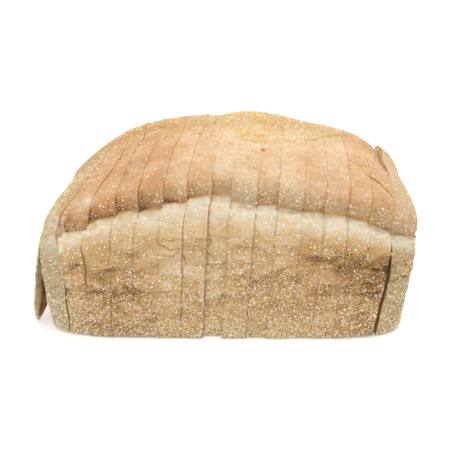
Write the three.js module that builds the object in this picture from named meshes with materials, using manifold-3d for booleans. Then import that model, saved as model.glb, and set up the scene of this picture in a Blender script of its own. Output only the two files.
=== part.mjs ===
// A tin loaf of bread cut into fourteen slices and two heels, dusted with coarse cornmeal.
// Millimetres. X runs along the loaf, Y across it and Z up. The near side is -Y.
// The origin is on the flat base, under the middle of the whole loaf.
import * as THREE from "three";
import Module from "manifold-3d";
import { mergeVertices } from "three/addons/utils/BufferGeometryUtils.js";

const wasm = await Module();
wasm.setup();

// The cuts. A cut crosses the loaf a little askew and leans towards +X at the top.
const SLICE_COUNT = 14;
const SLICE_THICKNESS = 12.7;
const FIRST_CUT = -86;
const CUT_SKEW = 0.092;
const CUT_LEAN = 0.062;
const CUT_ERRORS = [-0.8, -0.9, -0.1, -0.5, 0.5, 1.1, 1.5, -0.1, 0.8, -0.3, 0.6, -0.1, 0, -0.7, -1];
const END_CUT = -104.4;
const KERF = 0.5;

// The baked shape.
const HALF_LENGTH = 110;
const END_TAPER = 2.5;
const TAPER_HEIGHT = 40;
const MID_HEIGHT = 45;
const LIP_HEIGHT = 81.5;
const LIP_RISE = 1.7;
const LIP_DROOP = 22;
const CREST_HEIGHT = 120.3;
const CREST_RISE = 2.8;
const CREST_DROOP = 22.5;
// Humps along the crest: place and width as shares of the half length, and height.
const HUMPS = [[-0.3, 0.22, 2.4], [0.15, 0.15, 2.6]];
const BASE_LIFT = 1.3;
const BASE_EDGE = 12;
const DOME_BLEND = 10;

// The ends are rounded as superellipses, squarer at the base than at the dome.
const GRID_POWER = 5;
const WALL_POWER = 6;
const LEFT_DOME_POWER = 4.2;
const RIGHT_DOME_POWER = 8.2;
const BASE_POWER = 20;
const SHOULDER_POWER = 8;

// Half of the cross-section in the middle of the loaf. A wall point is across and a share of the
// lip's height, a dome point is across and a share of the rise from the lip to the crest.
const WALL = [
  [30, 0], [45, 0], [51, 0.02], [53.8, 0.08], [55.6, 0.25], [58.3, 0.52], [60.3, 0.74], [59.8, 0.86],
  [56.6, 0.94], [51.5, 0.96],
];
const CREASE = 47.5;
const NEAR_DOME = [
  [48.5, 0.06], [50.8, 0.16], [51.2, 0.28], [48, 0.39], [38.5, 0.54], [27, 0.66], [14, 0.75],
  [0, 0.82], [-7, 0.88], [-14, 0.97],
];
const CREST = 23;
const FAR_DOME = [
  [35, 0.93], [45, 0.74], [51.4, 0.48], [53, 0.28], [52, 0.12],
];
const TIGHT_SIDE = 0.06;
// The left heel is torn smooth where the others have their crease.
const FULL_WALL = [...WALL.slice(0, 8), [58.5, 0.94], [57.5, 0.97]];
const FULL_CREASE = 56;
const FULL_DOME = [[54.5, 0.06], [53.5, 0.16], [51.5, 0.28], ...NEAR_DOME.slice(3)];
const BELLY = 0.055;
const BELLY_HEIGHT = 50;

// Folds that the tin pressed into the near wall: middle, height, half length, slope and depth.
const FOLDS = [
  [-57, 45, 17, 0.02, 1.3], [-59, 32, 19, -0.03, 1.2], [-24, 39, 20, -0.08, 1], [5, 48, 14, 0.2, 0.8],
  [28, 44, 13, 0.35, 1.1], [54, 50, 12, -0.1, 1], [56, 35, 14, 0.05, 1.5], [82, 49, 9, 0, 1.3],
  [62, 20, 15, 0.2, 0.8], [98, 38, 9, 0.05, 1.2], [98, 23, 9, 0.1, 1.1], [-2, 25, 16, 0.1, 0.7],
];
const FOLD_WIDTH = 3;
// Lumps of the crust: height, and the lengths of their waves along, across and up.
const LUMPS = [[0.5, 17, 31, 23], [0.35, 7.3, 19, -11], [0.25, 4.1, 40, 6.7]];

// How far a piece sits behind or before its neighbours across the loaf.
const PUSHED = { slice_02: -0.5, slice_04: 0.4, slice_07: 2.8, slice_09: 1.1, slice_11: 0.7, slice_13: -0.4 };

// The gap at the last cut is wide low down and at the crest, and closed at the lip.
const WIDE_GAP = 2.5;
const LOW_GAP = [64, 40];
const HIGH_GAP = [88, 103];

// The crust of the left end, peeled away from the heel at its foot.
const FLAP = { across: 1, height: 37, halfWidth: 43, halfHeight: 29, thickness: 5.5, edge: 0.9 };
const FLAP_POWER = 4;
const FLAP_CORNER = 12;
const FLAP_TILT = 0.12;
const FLAP_CLEARANCE = 0.5;
const FLAP_LIFT = 8;
const FLAP_TIP = 5;
const FLAP_TIP_TURN = 4;
const FLAP_ROUND = 36;
const FLAP_RINGS = 4;

// Coarse cornmeal grits, spread by a golden-ratio rule over all that shows.
const GRIT_COUNT = 230;
const GRIT_RADIUS = 0.75;
const GRIT_SPREAD = 0.4;
const GRIT_MARGIN = 1.9;
const GRIT_SUNK = 0.25;
const GRIT_LOWEST = 4;
const STEP_U = 0.7548776662;
const STEP_V = 0.569840291;

// Where the middle of the whole loaf lies before it is centred.
const MIDDLE_X = -3.1;
const MIDDLE_Y = 0.7;

const POINTS_PER_SPAN = 2;
const SLICE_STATIONS = 2;
const LEFT_HEEL_STATIONS = 3;
const RIGHT_HEEL_STATIONS = 7;
const HALVINGS = 40;
const NORMAL_STEP = 0.01;
const POLE = Math.PI / 2;

const mix = (a, b, t) => a + (b - a) * t;
const fraction = (v) => v - Math.floor(v);
const bell = (v) => Math.exp(-v * v);
const smooth = (low, high, v) => {
  const t = Math.min(1, Math.max(0, (v - low) / (high - low)));
  return t * t * (3 - 2 * t);
};

// The closed outline's corner points at a share of the half length, near side first.
function outlinePoints(along, full) {
  const [wall, crease, dome] = full ? [FULL_WALL, FULL_CREASE, FULL_DOME] : [WALL, CREASE, NEAR_DOME];
  const lip = LIP_HEIGHT + LIP_RISE * along - LIP_DROOP * along * along;
  const humps = HUMPS.reduce((sum, [place, width, hump]) => sum + hump * bell((along - place) / width), 0);
  const crest = CREST_HEIGHT + CREST_RISE * along - CREST_DROOP * along * along + humps;
  const tight = 1 + TIGHT_SIDE * smooth(-0.2, 0.3, along);
  const rise = (share) => mix(lip, crest, share);
  return [
    [0, 0],
    ...wall.map(([y, share]) => [-y, share * lip]),
    [-crease * tight, lip],
    ...dome.map(([y, share]) => [-y * (y > 0 ? tight : 1), rise(share)]),
    [CREST, crest],
    ...FAR_DOME.map(([y, share]) => [y, rise(share)]),
    [CREASE + 2, lip],
    ...[...WALL].reverse().map(([y, share]) => [y, share * lip]),
  ];
}

const SPANS = outlinePoints(0).length;
const OUTLINE = SPANS * POINTS_PER_SPAN;

// A closed Catmull-Rom curve through the outline's points, at s in spans.
function outline(s, along, full) {
  const points = outlinePoints(along, full);
  const span = Math.floor(s);
  const t = s - span;
  const [a, b, c, d] = [-1, 0, 1, 2].map((k) => points[(span + k + SPANS) % SPANS]);
  const curve = (k) =>
    0.5 * (2 * b[k] + (c[k] - a[k]) * t + (2 * a[k] - 5 * b[k] + 4 * c[k] - d[k]) * t * t +
      (3 * b[k] - a[k] - 3 * c[k] + d[k]) * t * t * t);
  return [curve(0), curve(1)];
}

// What is left of the section's size at a share of the half length.
const shrink = (along, power) => Math.pow(1 - Math.pow(Math.min(1, Math.abs(along)), power), 1 / power);

// Folds and lumps of the crust, outwards in mm.
function relief(x, y, z) {
  let depth = 0;
  if (y < 0)
    for (const [middle, height, halfLength, slope, fold] of FOLDS) {
      const off = (x - middle) / halfLength;
      const rise = (z - height - slope * (x - middle)) / FOLD_WIDTH;
      depth -= fold * Math.exp(-(off ** 4) - rise * rise);
    }
  for (const [lump, alongWave, acrossWave, upWave] of LUMPS)
    depth += lump * Math.sin(x / alongWave + y / acrossWave + z / upWave);
  return depth * smooth(0, BASE_EDGE, z);
}

// The crust at s round the outline and at an angle from -90 degrees at the left end to 90 at the right.
function crust(s, angle, full = false) {
  const [sine, cosine] = [Math.sin(angle), Math.cos(angle)];
  const along = sine / Math.pow(Math.abs(sine) ** GRID_POWER + Math.abs(cosine) ** GRID_POWER, 1 / GRID_POWER);
  const [across, height] = outline(s, along, full);
  const domed = smooth(MID_HEIGHT, LIP_HEIGHT + DOME_BLEND, height);
  const domePower = mix(LEFT_DOME_POWER, RIGHT_DOME_POWER, smooth(-0.5, 0.5, along));
  const acrossPower = mix(WALL_POWER, domePower, domed);
  const heightPower = height < MID_HEIGHT ? BASE_POWER : mix(SHOULDER_POWER, domePower, domed);
  const belly = 1 + BELLY * (1 - along * along) * (1 - smooth(0, BELLY_HEIGHT, height));
  const y = across * belly * shrink(along, acrossPower);
  const raised = MID_HEIGHT + (height - MID_HEIGHT) * shrink(along, heightPower);
  const base = BASE_LIFT * (1 - smooth(0, BASE_EDGE, height));
  const z = Math.max(0, raised - base);
  const x = along * (HALF_LENGTH - END_TAPER * Math.max(0, 1 - z / TAPER_HEIGHT) ** 2);
  const length = Math.hypot(x / HALF_LENGTH, y / CREASE, (z - MID_HEIGHT) / MID_HEIGHT) || 1;
  const out = relief(x, y, z) / length;
  return new THREE.Vector3(
    x + (out * x * Math.abs(along) ** BASE_POWER) / HALF_LENGTH,
    y + (out * y) / CREASE,
    Math.max(0, z + (out * (z - MID_HEIGHT)) / MID_HEIGHT),
  );
}

// Where cut number i lies at a place across and up; -1 is the cut that took off the left end.
const cutAt = (i) => (i < 0 ? END_CUT : FIRST_CUT + i * SLICE_THICKNESS + CUT_ERRORS[i]);
const cutX = (i, y, z) => cutAt(i) + CUT_SKEW * y + CUT_LEAN * z;

// Half of the gap at a cut.
function halfGap(i, z) {
  const wide = i === SLICE_COUNT ? WIDE_GAP * (smooth(...LOW_GAP, z) + smooth(...HIGH_GAP, z)) : 0;
  return (KERF + wide) / 2;
}

// The angle at which the line s of the crust meets a cut, by halving.
function angleAtCut(s, i, side, full) {
  let [low, high] = [-POLE, POLE];
  for (let k = 0; k < HALVINGS; k++) {
    const middle = (low + high) / 2;
    const p = crust(s, middle, full);
    if (p.x < cutX(i, p.y, p.z) + side * halfGap(i, p.z)) low = middle;
    else high = middle;
  }
  return (low + high) / 2;
}

// A closed body between two cuts, or from a cut to the tip of the right end where to is null.
function breadBetween(from, to, stations, full = false) {
  const rows = [];
  for (let k = 0; k < OUTLINE; k++) {
    const s = k / POINTS_PER_SPAN;
    const start = angleAtCut(s, from, 1, full);
    const end = to === null ? POLE : angleAtCut(s, to, -1, full);
    rows.push([start, end, s]);
  }
  const corners = [];
  for (const [start, end, s] of rows)
    for (let j = 0; j <= stations; j++) corners.push(crust(s, mix(start, end, j / stations), full));
  const at = (k, j) => (k % OUTLINE) * (stations + 1) + j;
  const faces = [];
  for (let k = 0; k < OUTLINE; k++)
    for (let j = 0; j < stations; j++) {
      faces.push([at(k, j), at(k, j + 1), at(k + 1, j + 1)]);
      faces.push([at(k, j), at(k + 1, j + 1), at(k + 1, j)]);
    }
  addCutFace(corners, faces, (k) => at(k, 0), from, 1);
  if (to !== null) addCutFace(corners, faces, (k) => at(k, stations), to, -1);
  return closedGeometry(corners, faces);
}

// Fans a cut's flat face round one point in its middle.
function addCutFace(corners, faces, edge, cut, side) {
  const middle = new THREE.Vector3(0, 0, MID_HEIGHT);
  middle.x = cutX(cut, 0, MID_HEIGHT) + side * halfGap(cut, MID_HEIGHT);
  corners.push(middle);
  const centre = corners.length - 1;
  for (let k = 0; k < OUTLINE; k++)
    faces.push(side > 0 ? [centre, edge(k), edge(k + 1)] : [centre, edge(k + 1), edge(k)]);
}

function closedGeometry(corners, faces) {
  const geometry = new THREE.BufferGeometry().setFromPoints(corners);
  geometry.setIndex(faces.flat());
  return mergeVertices(geometry, 1e-3);
}

// The peeled end crust: flat inside, bulged outside, thin at its edge, hanging from its top.
function flapGeometry() {
  const corners = [];
  const faces = [];
  const place = (ring, turn, outer) => {
    const angle = (turn / FLAP_ROUND) * 2 * Math.PI;
    const share = ring / FLAP_RINGS;
    const [c, s] = [Math.cos(angle), Math.sin(angle)];
    const size = share / Math.pow(Math.abs(c) ** FLAP_POWER + Math.abs(s) ** FLAP_POWER, 1 / FLAP_POWER);
    const y = FLAP.across + FLAP.halfWidth * c * size;
    const lifted = FLAP_CORNER * -c - FLAP_LIFT * smooth(-0.75, -0.2, c);
    const tip = FLAP_TIP * share ** 3 * bell((angle - FLAP_TIP_TURN) / 0.2);
    const drop = share * Math.max(0, -s) * lifted + tip;
    const z = FLAP.height + FLAP.halfHeight * s * size - drop;
    const peeled = FLAP_TILT * (FLAP.height + FLAP.halfHeight - z);
    const bulge = outer ? FLAP.edge + FLAP.thickness * (1 - share ** 3) : 0;
    return new THREE.Vector3(cutX(-1, y, z) - FLAP_CLEARANCE - peeled - bulge, y, z);
  };
  const sheet = (outer) => {
    const centre = corners.push(place(0, 0, outer)) - 1;
    const first = corners.length;
    for (let ring = 1; ring <= FLAP_RINGS; ring++)
      for (let turn = 0; turn < FLAP_ROUND; turn++) corners.push(place(ring, turn, outer));
    const at = (ring, turn) => (ring ? first + (ring - 1) * FLAP_ROUND + (turn % FLAP_ROUND) : centre);
    for (let turn = 0; turn < FLAP_ROUND; turn++)
      for (let ring = 0; ring < FLAP_RINGS; ring++) {
        const [a, b, c, d] = [at(ring, turn), at(ring, turn + 1), at(ring + 1, turn + 1), at(ring + 1, turn)];
        const pair = ring ? [[a, d, c], [a, c, b]] : [[a, d, c]];
        for (const face of pair) faces.push(outer ? [...face].reverse() : face);
      }
    return (turn) => at(FLAP_RINGS, turn);
  };
  const inner = sheet(false);
  const outer = sheet(true);
  for (let turn = 0; turn < FLAP_ROUND; turn++) {
    faces.push([inner(turn), outer(turn), outer(turn + 1)]);
    faces.push([inner(turn), outer(turn + 1), inner(turn + 1)]);
  }
  return closedGeometry(corners, faces);
}

const solidOf = (geometry) =>
  new wasm.Manifold(
    new wasm.Mesh({
      numProp: 3,
      vertProperties: geometry.attributes.position.array,
      triVerts: new Uint32Array(geometry.index.array),
    }),
  );

function geometryOf(solid) {
  const mesh = solid.getMesh();
  const geometry = new THREE.BufferGeometry();
  geometry.setAttribute("position", new THREE.BufferAttribute(mesh.vertProperties, mesh.numProp));
  geometry.setIndex(new THREE.BufferAttribute(mesh.triVerts, 1));
  return geometry;
}

// The angle at which the line s of the crust reaches a place along the loaf, by halving.
function angleAtPlace(s, x) {
  let [low, high] = [-POLE, POLE];
  for (let k = 0; k < HALVINGS; k++) {
    const middle = (low + high) / 2;
    if (crust(s, middle).x < x) low = middle;
    else high = middle;
  }
  return low;
}

// The grits' places as { point, outward, radius, piece }: evenly spread in length and round the outline.
function gritPlaces() {
  const lengths = [0];
  for (let k = 1; k <= OUTLINE; k++) {
    const [before, here] = [crust((k - 1) / POINTS_PER_SPAN, 0), crust((k % OUTLINE) / POINTS_PER_SPAN, 0)];
    lengths.push(lengths[k - 1] + before.distanceTo(here));
  }
  const places = [];
  for (let k = 1; k <= GRIT_COUNT; k++) {
    const walked = fraction(k * STEP_U) * lengths[OUTLINE];
    const span = lengths.findIndex((length) => length > walked) - 1;
    const share = (walked - lengths[span]) / (lengths[span + 1] - lengths[span]);
    const s = ((span + share) / POINTS_PER_SPAN) % SPANS;
    const angle = angleAtPlace(s, mix(-HALF_LENGTH, HALF_LENGTH, fraction(k * STEP_V)));
    const point = crust(s, angle);
    if (point.z < GRIT_LOWEST) continue;
    const lengthways = crust(s, angle + NORMAL_STEP).sub(crust(s, angle - NORMAL_STEP));
    const [after, before] = [(s + NORMAL_STEP) % SPANS, (s - NORMAL_STEP + SPANS) % SPANS];
    const round = crust(after, angle).sub(crust(before, angle));
    const outward = lengthways.cross(round).normalize();
    const radius = GRIT_RADIUS + GRIT_SPREAD * (1 - k / GRIT_COUNT);
    const clear = (i, side) => side * (point.x - cutX(i, point.y, point.z)) > GRIT_MARGIN;
    for (let piece = -1; piece <= SLICE_COUNT; piece++)
      if (clear(piece, 1) && (piece === SLICE_COUNT || clear(piece + 1, -1)))
        places.push({ point, outward, radius, piece, turn: k });
  }
  return places;
}

function gritSolid({ point, outward, radius, turn }) {
  const geometry = new THREE.IcosahedronGeometry(radius, 0);
  geometry.deleteAttribute("normal");
  geometry.deleteAttribute("uv");
  geometry.scale(1, 0.85, 0.8).rotateZ(turn).rotateX(turn * STEP_V);
  const centre = point.clone().addScaledVector(outward, -GRIT_SUNK * radius);
  geometry.translate(centre.x, centre.y, centre.z);
  return solidOf(mergeVertices(geometry, 1e-4));
}

const CRUST = { color: 0xd8a874, roughness: 0.85, metalness: 0 };
const PALE = { color: 0xdcc79c, roughness: 0.9, metalness: 0 };

function addPiece(group, name, geometry, finish) {
  const mesh = new THREE.Mesh(geometry, new THREE.MeshStandardMaterial(finish));
  mesh.name = name;
  const pushed = PUSHED[name] ?? 0;
  mesh.position.set(pushed * CUT_SKEW, pushed, 0);
  group.add(mesh);
}

function buildLoaf() {
  const loaf = new THREE.Group();
  loaf.position.set(-MIDDLE_X, -MIDDLE_Y, 0);
  const places = gritPlaces();
  const dusted = (geometry, piece) => {
    let solid = solidOf(geometry);
    for (const place of places) if (place.piece === piece) solid = solid.add(gritSolid(place));
    return geometryOf(solid);
  };
  addPiece(loaf, "end_crust", flapGeometry(), PALE);
  addPiece(loaf, "heel_left", dusted(breadBetween(-1, 0, LEFT_HEEL_STATIONS, true), -1), PALE);
  for (let i = 0; i < SLICE_COUNT; i++) {
    const name = "slice_" + String(i + 1).padStart(2, "0");
    addPiece(loaf, name, dusted(breadBetween(i, i + 1, SLICE_STATIONS), i), CRUST);
  }
  const last = breadBetween(SLICE_COUNT, null, RIGHT_HEEL_STATIONS);
  addPiece(loaf, "heel_right", dusted(last, SLICE_COUNT), PALE);
  return loaf;
}

export default buildLoaf();
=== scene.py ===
# A sliced tin loaf dusted with coarse cornmeal, on a pale floor under soft studio light.
from itertools import product

import bpy
import numpy as np
from mathutils import Matrix, Vector


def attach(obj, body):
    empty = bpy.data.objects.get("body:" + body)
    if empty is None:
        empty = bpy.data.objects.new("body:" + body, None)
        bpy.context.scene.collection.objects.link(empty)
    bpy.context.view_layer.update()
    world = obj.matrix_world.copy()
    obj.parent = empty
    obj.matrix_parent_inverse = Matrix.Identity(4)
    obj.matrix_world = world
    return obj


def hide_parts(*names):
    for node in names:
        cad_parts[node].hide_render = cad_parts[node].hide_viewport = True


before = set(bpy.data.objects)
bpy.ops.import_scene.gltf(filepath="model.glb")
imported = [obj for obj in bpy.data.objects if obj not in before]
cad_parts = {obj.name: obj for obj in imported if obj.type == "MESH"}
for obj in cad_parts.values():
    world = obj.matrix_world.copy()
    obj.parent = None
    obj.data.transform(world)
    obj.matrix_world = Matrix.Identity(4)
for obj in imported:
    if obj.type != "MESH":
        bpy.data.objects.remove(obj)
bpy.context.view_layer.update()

# Every length below is in millimetres, in the loaf's own frame, until a mesh is made.
MM = 0.001
MIDDLE = np.array([-3.1, 0.7, 0.0])

# The cuts. A cut crosses the loaf a little askew and leans towards +X at the top.
SLICE_COUNT = 14
SLICE_THICKNESS = 12.7
FIRST_CUT = -86
CUT_SKEW = 0.092
CUT_LEAN = 0.062
CUT_ERRORS = [-0.8, -0.9, -0.1, -0.5, 0.5, 1.1, 1.5, -0.1, 0.8, -0.3, 0.6, -0.1, 0, -0.7, -1]
END_CUT = -104.4
KERF = 0.04
CUT_WAVER = 0.3

# How far the first cuts bend along the loaf on the near side, at the lip and up the dome.
BENDS = [(-5.5, 6), (-2.3, 6.5), (0, 2.5), (0.5, 1.8), (0.3, 1.2)]
LAST_BEND = 2.4

# The baked shape.
HALF_LENGTH = 110
END_TAPER = 2.5
TAPER_HEIGHT = 40
MID_HEIGHT = 45
LIP_HEIGHT = 81.5
LIP_RISE = 1.7
LIP_DROOP = 22
CREST_HEIGHT = 120.3
CREST_RISE = 2.8
CREST_DROOP = 22.5
HUMPS = [(-0.3, 0.22, 2.4), (0.15, 0.15, 2.6)]
BASE_LIFT = 1.3
BASE_EDGE = 12
DOME_BLEND = 10
GRID_POWER = 5
WALL_POWER = 6
LEFT_DOME_POWER = 4.2
RIGHT_DOME_POWER = 8.2
BASE_POWER = 20
SHOULDER_POWER = 8

# Half of the cross-section in the middle of the loaf. A wall point is across and a share of the
# lip's height, a dome point is across and a share of the rise from the lip to the crest.
WALL = [
    (30, 0), (45, 0), (51, 0.02), (53.8, 0.08), (55.6, 0.25), (58.3, 0.52), (60.3, 0.74), (59.8, 0.86),
    (56.6, 0.94), (51.5, 0.96),
]
CREASE = 47.5
NEAR_DOME = [
    (48.5, 0.06), (50.8, 0.16), (51.2, 0.28), (48, 0.39), (38.5, 0.54), (27, 0.66), (14, 0.75),
    (0, 0.82), (-7, 0.88), (-14, 0.97),
]
CREST = 23
FAR_DOME = [(35, 0.93), (45, 0.74), (51.4, 0.48), (53, 0.28), (52, 0.12)]
TIGHT_SIDE = 0.06
LEFT_TUCK = 1.8

# The left heel is torn smooth where the others have their crease.
FULL_WALL = [*WALL[:8], (58.5, 0.94), (57.5, 0.97)]
FULL_CREASE = 56
FULL_DOME = [(54.5, 0.06), (53.5, 0.16), (51.5, 0.28), *NEAR_DOME[3:]]
BELLY = 0.055
BELLY_HEIGHT = 50

# Folds that the tin pressed into the near wall: middle, height, half length, slope and depth.
FOLDS = [
    (-57, 45, 17, 0.02, 1.3), (-59, 32, 19, -0.03, 1.2), (-24, 39, 20, -0.08, 1), (5, 48, 14, 0.2, 0.8),
    (28, 44, 13, 0.35, 1.1), (52, 50, 9, -0.2, 1), (58, 35, 10, 0.12, 1.5), (82, 50, 7, 0.25, 1.3),
    (66, 22, 10, 0.3, 0.8), (98, 38, 9, 0.05, 1.2), (98, 23, 9, 0.1, 1.1), (-2, 25, 16, 0.1, 0.7),
]
FOLD_WIDTH = 3
FOLD_SHARE = 0.5
FOLD_BOW = -2.2
FOLD_WIND = 0.9
FOLD_WAVE = 4.3
LUMPS = [(0.5, 17, 31, 23), (0.35, 7.3, 19, -11), (0.25, 4.1, 40, 6.7)]

# Where the thick dust of the crest begins: places along the loaf and across it.
DUST_LINE = [
    (-105, -45), (-92, -40), (-86, -31.5), (-79, -16), (-66, -5), (-47, 0), (-28, 2), (-7, -4), (1, -4),
    (9, -20), (17, -24), (26, -21), (38, -17), (48, -11), (62, 4), (74, 11), (92, 16), (108, 48),
]

# Torn crumb on the left heel: middle along and up, and reach along and up.
TEAR = (-97, 61, 8, 15)

# Single features: lumps, dents and stains, each at a place with its radius, lift, toast and flour.
SPOTS = [
    (-85, -57, 57, 3.6, -1.3, 0.05, 0.3), (-84, -58, 47, 3.4, -0.9, 0.1, 0.1),
    (-83, -56, 24.6, 4.5, 0.7, -0.15, 0), (-76.5, -55.4, 64.7, 2, 1.6, -0.3, 0.8),
    (21.1, -32.1, 106, 1.1, -1.2, 0.4, 0), (12.5, -40, 103.3, 0.6, -0.4, 0.4, 0),
    (-84.5, 7.1, 95.2, 1.1, 0, 0.8, 0), (-20, -5, 112.2, 1.2, -0.4, 0.35, 0),
    (-16, -6.5, 111.9, 1.4, -0.5, 0.45, 0), (24, -47, 84, 1.2, -0.5, 0.4, 0),
    (-75.9, -47, 80.6, 3, 0.3, -0.1, 0.7), (15.9, -50.8, 71.4, 2.2, 0.4, -0.1, 0.9),
    (36, -58, 57, 2.2, -0.9, 0.15, 0.3),
]

# Cracks in the crust, each from a place to a place, half as wide as the last number.
CRACKS = [
    ((78, -38.5, 94), (86.4, -44.5, 88.3), 0.55), ((86.4, -44.5, 88.3), (90.5, -49.4, 83), 0.5),
    ((76, -47.5, 88), (77.5, -51.5, 78), 0.5), ((68, -33, 98), (74, -39, 93), 0.4),
    ((-3, -20, 110.5), (4, -26, 108.5), 0.4), ((-52, -2, 112), (-38, 1.5, 114.5), 0.5),
]

# For each cut, how plainly it shows on the wall and on the dome, and how much its left side stands out
# on the wall, at the lip and on the dome.
WALL_CUTS = [0.5, 0.6, 0.4, 0.3, 0.5, 0.9, 1, 1, 0.5, 0.9, 0.5, 1, 1, 1, 1]
DOME_CUTS = [0.9, 1, 0.5, 0.6, 0.6, 0.4, 0.35, 0.35, 0.45, 0.5, 0.8, 1, 1, 0.8, 1]
WALL_STEPS = [0.2, 0.3, 0.2, 0.15, 0.25, 0.8, 0, 0.7, 0.3, 0.7, 0.3, 0.7, 0.6, 0.6, 0]
LIP_STEPS = [0.6, 1.8, 1.5, 1.3, 1.7, 1.3, 0.8, -0.8, 1.3, -1.3, 0.6, -0.8, -0.9, -1, 0]
DOME_STEPS = [0.3, 0.5, 0.3, 0.35, 0.4, 0.25, 0.1, 0, 0.15, -0.2, 0.2, -0.25, -0.3, -0.25, 0]

# Stretches of the near wall where a cut gapes: the cut, from and to heights, and the width.
GAPS = [(0, 3, 33, 0.8), (1, 33, 63, 0.9)]

# For each piece, from the left heel to the right one: how much it rises above the others at the crest,
# how far it sits behind or before its neighbours, and how much more toasted it is than they are.
CRESTS = [-0.3, 0.2, 0.5, -0.1, 0.1, 0.15, -0.25, 0.3, 0.3, 0, -0.1, 0, -0.2, 0, -0.9, 1.5]
PUSHED = [0, 0, -0.5, 0, 0.4, 0, 0, 2.8, 0, 1.1, 0, 0.7, 0, -0.4, 0, 0]
TONES = [0, -0.09, -0.04, -0.01, 0, -0.04, 0.02, -0.06, -0.02, 0.03, -0.03, 0, -0.02, 0.02, 0.05, 0]

# How much lower each piece's lip hangs at its left and at its right cut, and how far the crease is filled.
LIPS = [
    (0, 0), (2, 6), (1.2, 1.2), (0, 1.3), (0.9, 1.8), (-1.2, 0.5), (-1.7, -2.9), (-2.3, -1.7), (0, 2.4),
    (1.7, 0.9), (0.9, 2.9), (2.3, 1.5), (1.2, 0.6), (0.6, 1.4), (1.4, 2.6), (4, 0.6),
]
CREASE_FILL = 1.4

# How far the last slice's shoulder falls away at the crest, beside the gap.
NOTCH = 3.4

# How toasted the crust is: the dome, its low part and its very edge from left to right, the wall from
# its foot up, and how much less at the wall's top from left to right.
DOME_TOAST = (0.52, 0.34)
LIP_TOAST = (0.2, 0.16)
EDGE_TOAST = (0.22, 0.1)
WALL_TOAST = (0.62, 0.5)
WALL_FADING = (0.5, 0.8)

# Stretches that are more toasted, or darkened as painted shade: by how much, where up the wall or dome, and
# where along the loaf.
MIDDLE_UP = ("at", 0.5, 0.3)
WALL_TONES = [
    # The first row is a painted contact shadow along the wall's foot, the second a painted shade line right
    # under the lip.
    (0.35, ("past", 0.035, 0.01), None), (0.2, ("at", 1, 0.012), None), (0.06, ("past", 0.2, 0.08), None),
    (-0.3, ("past", 0.3, 0.08), ("at", 12, 38)), (0.08, MIDDLE_UP, ("past", 0, 12)),
    (0.18, MIDDLE_UP, ("past", 35, 60)), (-0.12, ("at", 0.25, 0.12), ("past", 35, 60)),
    (0.12, ("past", 0.25, 0.1), ("past", -25, -50)), (0.12, ("past", 0.25, 0.1), ("past", 55, 70)),
    (0.32, MIDDLE_UP, ("past", -35, -55)), (-0.14, MIDDLE_UP, ("at", -20, 20)),
    (0.24, ("at", 0.72, 0.12), ("past", 30, 50)),
]
DOME_TONES = [
    (-0.1, None, ("at", 10, 35)), (0.06, ("past", 0.45, 0.7), ("past", -20, -45)),
    (0.05, None, ("past", 25, 45)),
]

# The waves of noise in each kind of unevenness: height, size in millimetres and seed.
WAVES = {
    "waver": [(0.7, 9, 1), (0.5, 2.6, 2)], "wrinkle": [(1, (15, 15, 5.5), 3), (0.35, (5, 5, 3), 4)],
    "lump": [(0.4, 9, 7), (0.22, 4, 8)], "swell": [(1, (13, 13, 7.5), 17), (0.65, (5.5, 5.5, 3.4), 18)],
    "grain": [(0.14, 1.9, 9), (0.08, 1, 10)], "tear": [(1, 5, 15), (0.6, 2, 16)],
    "ragged": [(1.1, 2.2, 25), (0.6, 1.1, 28)], "powder": [(0.6, 14, 26), (0.5, 4, 29), (0.9, 1.5, 27)],
    "flap": [(0.3, 4, 32), (0.2, 1.5, 33)],
}

# Patches where noise of a size and seed passes from a low value to a high one.
PATCHES = {
    "creased": (-0.3, 0.5, (26, 26, 20), 5), "pore": (0.62, 0.85, 1.9, 11), "groove": (-0.6, 0.2, 14, 24),
    "fringe": (-0.1, 0.4, (5, 5, 3), 19), "plain cut": (-0.5, 0.4, (30, 12, 12), 20),
    "wall cut": (-0.5, 0.5, 9, 23), "clump": (-0.5, 0.6, 4, 41), "drift": (-0.5, 0.5, 17, 42),
}

# Depths and lifts of the fine relief, and half widths of its lines.
WRINKLE_DEPTH = 1
SMALL_WRINKLE_DEPTH = 0.5
WRINKLE_WIDTH = 0.09
SMALL_WRINKLE_WIDTH = 0.12
FRINGE_LUMP = 0.9
PORE_DEPTH = 0.35
CUT_DIP = 0.15
CUT_DIP_WIDTH = 0.42
GROOVE_DEPTH = 0.5
CRACK_DEPTH = 0.7

# Where the wall gives way to the dome, as shares of the lip's height, and the near side to the far side.
DOME_BORDER = (0.97, 1)
NEAR_BORDER = (5, -10)

# The gap at the last cut is wide low down and at the crest, and closed at the lip.
WIDE_GAP = 2.1
LOW_GAP = (64, 40)
HIGH_GAP = (88, 103)

# The crust of the left end, peeled away from the heel at its foot.
FLAP = {"across": 1, "height": 37, "half_width": 43, "half_height": 29, "thickness": 5.5, "edge": 0.9}
FLAP_POWER = 4
FLAP_CORNER = 12
FLAP_TILT = 0.12
FLAP_CLEARANCE = 0.7
FLAP_LIFT = 8
FLAP_TIP = 5
FLAP_TIP_TURN = 4.0

# Fineness of the meshes, and the angle from which an edge is shaded sharp.
SHARP_ANGLE = np.radians(55)
ROUND = 640
SLICE_STATIONS = 28
LEFT_HEEL_STATIONS = 40
RIGHT_HEEL_STATIONS = 96
CAP_RINGS = (0.988, 0.972, 0.93, 0.7, 0.35)
CAP_CRUMB = (0.1, 0.8, 1, 1, 1, 1)
# Crumb on the cut faces in the last gap, kept low as painted shade inside the gap.
GAP_PAINTED_SHADE_CRUMB = (0.1, 0.3, 0.4, 0.6, 1, 1)
BASE_WEIGHT = 0.3
STATION_DRIFT = 0.06
HALVINGS = 40

# How far from a cut its signs reach, and how far the right heel counts as beside its cut.
EDGE_REACH = 6
END_REACH = 20


def mix(a, b, share):
    return a + (b - a) * share


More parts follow.
